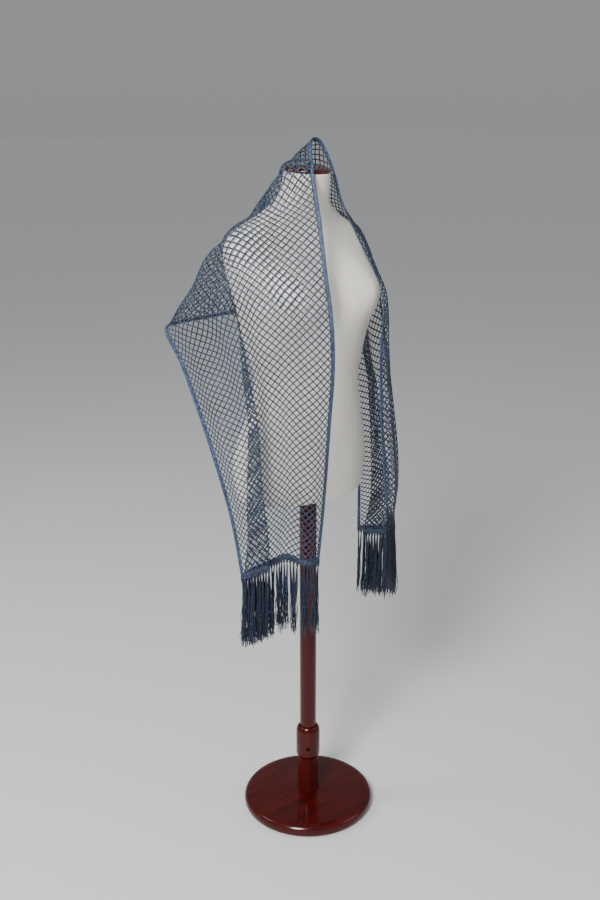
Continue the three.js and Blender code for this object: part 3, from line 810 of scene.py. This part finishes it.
def yarn_group():
    """Shared by net, borders and fringe: colour, roughness and height of plied yarn."""
    if "plied_yarn" in bpy.data.node_groups:
        return bpy.data.node_groups["plied_yarn"]
    tree = bpy.data.node_groups.new("plied_yarn", "ShaderNodeTree")
    socket = tree.interface.new_socket
    socket("Cloth", in_out="INPUT", socket_type="NodeSocketVector")
    for label in ("Middle", "Light", "Dark"):
        socket(label, in_out="INPUT", socket_type="NodeSocketColor")
    for label in ("Roughness", "Stitch"):
        socket(label, in_out="INPUT", socket_type="NodeSocketFloat")
    socket("Color", in_out="OUTPUT", socket_type="NodeSocketColor")
    for label in ("Roughness", "Height"):
        socket(label, in_out="OUTPUT", socket_type="NodeSocketFloat")
    start = tree.nodes.new("NodeGroupInput").outputs
    end = tree.nodes.new("NodeGroupOutput").inputs

    node = node_maker(tree)
    join = tree.links.new
    drift = node("ShaderNodeTexNoise", Scale=9.0, Detail=3.0)
    fleck = node("ShaderNodeTexNoise", Scale=160.0, Detail=2.0)
    plies = node("ShaderNodeTexWave", bands_direction="DIAGONAL", Distortion=1.5, Detail=1.0)
    fibre = node("ShaderNodeTexNoise", Scale=2600.0, Detail=2.0)
    lighter = node("ShaderNodeMix", data_type="RGBA", clamp_factor=True)
    darker = node("ShaderNodeMix", data_type="RGBA", clamp_factor=True)
    to_light = node("ShaderNodeMapRange")
    to_light.inputs["From Min"].default_value = 0.45
    to_light.inputs["From Max"].default_value = 0.7
    to_dark = node("ShaderNodeMapRange")
    to_dark.inputs["From Min"].default_value = 0.5
    to_dark.inputs["From Max"].default_value = 0.75
    height = node("ShaderNodeMath", operation="MULTIPLY_ADD")
    height.inputs[1].default_value = 0.35
    rougher = node("ShaderNodeMath", operation="MULTIPLY_ADD")
    rougher.inputs[1].default_value = 0.15
    for texture in (drift, fleck, plies, fibre):
        join(start["Cloth"], texture.inputs["Vector"])
    join(start["Stitch"], plies.inputs["Scale"])
    join(fleck.outputs["Fac"], to_light.inputs["Value"])
    join(drift.outputs["Fac"], to_dark.inputs["Value"])
    join(to_light.outputs["Result"], lighter.inputs["Factor"])
    join(start["Middle"], lighter.inputs["A"])
    join(start["Light"], lighter.inputs["B"])
    join(to_dark.outputs["Result"], darker.inputs["Factor"])
    join(lighter.outputs["Result"], darker.inputs["A"])
    join(start["Dark"], darker.inputs["B"])
    join(darker.outputs["Result"], end["Color"])
    join(fibre.outputs["Fac"], height.inputs[0])
    join(plies.outputs["Fac"], height.inputs[2])
    join(height.outputs["Value"], end["Height"])
    join(fleck.outputs["Fac"], rougher.inputs[0])
    join(start["Roughness"], rougher.inputs[2])
    join(rougher.outputs["Value"], end["Roughness"])
    return tree


net_yarn = yarn_material(
    "net_yarn",
    shade=(0.012, 0.022, 0.050, 1),
    light=(0.052, 0.086, 0.165, 1),
    dark=(0.006, 0.009, 0.024, 1),
    roughness=0.38,
    stitch=260.0,
    relief=0.5,
)

net_from = BORDER_WIDTH + SEAM_GAP
net_across = CLOTH_WIDTH - 2 * net_from
net_row = CLOTH_LENGTH / NET_ROWS


def flat_net(first, last):
    """The net between two of its rows, laid flat: diamonds framed by half strands.

    The weight of each point is its thickness, as a share of a knot's.
    """
    bm = bmesh.new()
    thickness = bm.verts.layers.deform.verify()
    bmesh.ops.create_grid(bm, x_segments=NET_CELLS_ACROSS, y_segments=last - first, size=0.5)
    bmesh.ops.scale(bm, verts=bm.verts, vec=(net_across, (last - first) * net_row, 1))
    middle = (CLOTH_WIDTH / 2, (first + last) / 2 * net_row, 0)
    bmesh.ops.translate(bm, verts=bm.verts, vec=middle)
    straight = [edge for edge in bm.edges if not edge.is_boundary]
    bmesh.ops.poke(bm, faces=bm.faces)
    bmesh.ops.dissolve_edges(bm, edges=straight, use_verts=False)
    knots = set(bm.verts)
    bmesh.ops.bisect_edges(bm, edges=bm.edges[:], cuts=2)
    for vert in bm.verts:
        vert[thickness][0] = 1.0 if vert in knots else STRAND_THICKNESS / KNOT_THICKNESS
    strands = set(bmesh.ops.inset_individual(
        bm, faces=bm.faces, thickness=STRAND_WIDTH / 2, use_even_offset=True
    )["faces"])
    holes = [face for face in bm.faces if face not in strands]
    for hole in holes:
        centre = hole.calc_center_median()
        for vert in hole.verts:
            vert[thickness][0] = RIM_THICKNESS / KNOT_THICKNESS
            if any(edge.other_vert(vert) in knots for edge in vert.link_edges):
                vert.co += (centre - vert.co).normalized() * CORNER_FILL
    bmesh.ops.delete(bm, geom=holes, context="FACES_ONLY")
    return bm


for name, start, end in STRETCHES:
    bm = flat_net(
        max(0, math.floor(start / net_row) - 1),
        min(NET_ROWS, math.ceil(end / net_row) + 1),
    )
    for cut, side in ((start, -1), (end, 1)):
        if 0 < cut < CLOTH_LENGTH:
            bmesh.ops.bisect_plane(
                bm,
                geom=bm.verts[:] + bm.edges[:] + bm.faces[:],
                plane_co=(0, cut, 0),
                plane_no=(0, side, 0),
                clear_outer=True,
            )
    hang_up(bm)
    net = new_piece("filet_" + name, bm, net_yarn)
    wall = net.modifiers.new("yarn", "SOLIDIFY")
    wall.thickness = KNOT_THICKNESS * MM
    wall.offset = 0
    wall.vertex_group = net.vertex_groups.new(name="thickness").name
    place_piece(net, "net", "net_" + name)

# ------------------------------------------------------------------------- long borders
# A close row of lighter crochet along each long edge of the net, worked on last. It is
# a narrow solid band with a stitch every 4 mm.
BORDER_THICKNESS = 3.0
STITCH_LENGTH = 4.0
STITCH_RELIEF = 0.45
BAND_STEPS = 4  # faces in a stitch, and across a band

border_yarn = yarn_material(
    "border_yarn",
    shade=(0.026, 0.046, 0.100, 1),
    light=(0.085, 0.135, 0.235, 1),
    dark=(0.013, 0.018, 0.055, 1),
    roughness=0.42,
    stitch=190.0,
    relief=0.6,
)


def crocheted_band(name, low, high, across_stitches, yarn):
    """A solid band of the flat cloth between two corners, raised by its own stitches.

    The row of stitches runs along the cloth, or across it where across_stitches is true.
    """
    width, length = high[0] - low[0], high[1] - low[1]
    steps = [BAND_STEPS, max(1, round(length / STITCH_LENGTH)) * BAND_STEPS]
    if across_stitches:
        steps = [max(1, round(width / STITCH_LENGTH)) * BAND_STEPS, BAND_STEPS]
    bm = bmesh.new()
    bmesh.ops.create_grid(bm, x_segments=steps[0], y_segments=steps[1], size=0.5)
    bmesh.ops.scale(bm, verts=bm.verts, vec=(width, length, 1))
    bmesh.ops.translate(bm, verts=bm.verts, vec=(low[0] + width / 2, low[1] + length / 2, 0))
    for vert in bm.verts:
        run, rise = (vert.co.x, vert.co.y) if across_stitches else (vert.co.y, vert.co.x)
        start = low[1] if across_stitches else low[0]
        stitch = math.sin(2 * math.pi * (run + 0.5 * (rise - start)) / STITCH_LENGTH)
        vert.co.z = STITCH_RELIEF * stitch
    hang_up(bm)
    band = new_piece(name, bm, yarn)
    wall = band.modifiers.new("yarn", "SOLIDIFY")
    wall.thickness = (BORDER_THICKNESS - STITCH_RELIEF) * MM
    wall.offset = 0
    return band


for name, node_name, start in (
    ("inner_border", "border_inner", 0),
    ("outer_border", "border_outer", CLOTH_WIDTH - BORDER_WIDTH),
):
    end = (start + BORDER_WIDTH, CLOTH_LENGTH)
    band = crocheted_band(name, (start, 0), end, False, border_yarn)
    place_piece(band, "border", node_name)

# ------------------------------------------------------------------- hem bands and fringe
# Each end of the net is closed by a solid band of the same crochet. Bundles of loose yarn
# are drawn through it with a knot and hang free, a little uneven where they were cut.
HEM_BAND = 12
FRINGE_LENGTH = 158
LOCKS = 46
LOCK_MARGIN = 5
YARNS_IN_LOCK = 12
YARN_RADIUS = 0.8
YARN_TAPER = 0.25  # share of its radius that a yarn has lost at its end
YARN_STEPS = 9
KNOT_RADIUS = 2.6
# Height over the band's edge, and share of the knot's radius, from top to bottom.
KNOT_FORM = [(3, 0.5), (1, 1), (-5, 1), (-8, 0.45)]
# Locks sway to the side, swing to the front and vary in length, each in its own rhythm
# of so many radians from one lock to the next.
SWAY, SWAY_RHYTHM = 7, 2.4
SWING, SWING_RHYTHM = 5, 1.7
UNEVEN, UNEVEN_RHYTHM = 0.06, 3.1
# Least and most, for the yarns of a lock.
YARN_SPREAD = (0.5, 6.5)
YARN_CURL = (0.6, 2.6)
YARN_WAVES = (1.5, 3.0)
YARN_SHARE = (0.9, 1.04)  # of the lock's length
SPREAD_SHAPE = 0.7  # under 1, a lock opens fastest just below its knot

fringe_yarn = yarn_material(
    "fringe_yarn",
    shade=(0.007, 0.012, 0.032, 1),
    light=(0.028, 0.046, 0.098, 1),
    dark=(0.003, 0.004, 0.014, 1),
    roughness=0.4,
    stitch=300.0,
    relief=0.5,
)


def loose_yarn(curve, points, radii):
    """One yarn of the fringe: a thin tube through points, with a radius at each."""
    spline = curve.splines.new("POLY")
    spline.points.add(len(points) - 1)
    for knot, point, radius in zip(spline.points, points, radii):
        knot.co = (*point, 1)
        knot.radius = radius


def fringe(name, along, away):
    """All the locks of one hem, with their knots, as one joined mesh."""
    chance = random.Random(name)
    curve = bpy.data.curves.new(name, "CURVE")
    curve.dimensions = "3D"
    curve.bevel_depth = 1.0
    curve.bevel_resolution = 1
    curve.use_fill_caps = True
    yarn_radii = [
        YARN_RADIUS * MM * (1 - YARN_TAPER * step / YARN_STEPS) for step in range(YARN_STEPS + 1)
    ]
    edge = along + away * (HEM_GAP + HEM_BAND)
    for k in range(LOCKS):
        across = LOCK_MARGIN + (CLOTH_WIDTH - 2 * LOCK_MARGIN) * k / (LOCKS - 1)
        root = hang(across, edge)
        sway = SWAY * math.sin(k * SWAY_RHYTHM) * MM
        swing = SWING * math.cos(k * SWING_RHYTHM) * MM
        length = FRINGE_LENGTH * (1 - UNEVEN * math.cos(k * UNEVEN_RHYTHM)) * MM
        knot = [root + Vector((0, 0, height * MM)) for height, _ in KNOT_FORM]
        loose_yarn(curve, knot, [share * KNOT_RADIUS * MM for _, share in KNOT_FORM])
        for _ in range(YARNS_IN_LOCK):
            turn = chance.uniform(0, 2 * math.pi)
            spread = Vector((math.cos(turn), math.sin(turn), 0))
            spread = spread * chance.uniform(*YARN_SPREAD) * MM
            curl = chance.uniform(*YARN_CURL) * MM
            phase = chance.uniform(0, 2 * math.pi)
            waves = chance.uniform(*YARN_WAVES)
            own = length * chance.uniform(*YARN_SHARE)
            points = []
            for step in range(YARN_STEPS + 1):
                down = step / YARN_STEPS
                angle = phase + 2 * math.pi * waves * down
                aside = sway * down + curl * down * math.sin(angle)
                ahead = swing * down + curl * down * math.cos(angle)
                opened = spread * down**SPREAD_SHAPE
                points.append(root + opened + Vector((aside, ahead, -own * down)))
            loose_yarn(curve, points, yarn_radii)
    drawn = bpy.data.objects.new(name, curve)
    bpy.context.collection.objects.link(drawn)
    bpy.context.view_layer.update()
    depsgraph = bpy.context.evaluated_depsgraph_get()
    mesh = bpy.data.meshes.new_from_object(drawn.evaluated_get(depsgraph))
    bpy.data.objects.remove(drawn)
    bm = bmesh.new()
    bm.from_mesh(mesh)
    bmesh.ops.remove_doubles(bm, verts=bm.verts, dist=SAME_POINT)
    layer = bm.loops.layers.uv.new("cloth")
    for face in bm.faces:
        for loop in face.loops:
            loop[layer].uv = (loop.vert.co.x - loop.vert.co.y, loop.vert.co.z)
    return new_piece(name, bm, fringe_yarn)


for side, along, away in (("right", 0, -1), ("left", CLOTH_LENGTH, 1)):
    near, far = sorted((along + away * HEM_GAP, along + away * (HEM_GAP + HEM_BAND)))
    band = crocheted_band("hem_band_" + side, (0, near), (CLOTH_WIDTH, far), True, net_yarn)
    place_piece(band, "net", "fringe_" + side)
    locks = fringe("yarn_fringe_" + side, along, away)
    place_piece(locks, "fringe", "fringe_" + side)

size = {"cad": cad_box, "visual": [list(corner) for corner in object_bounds()]}
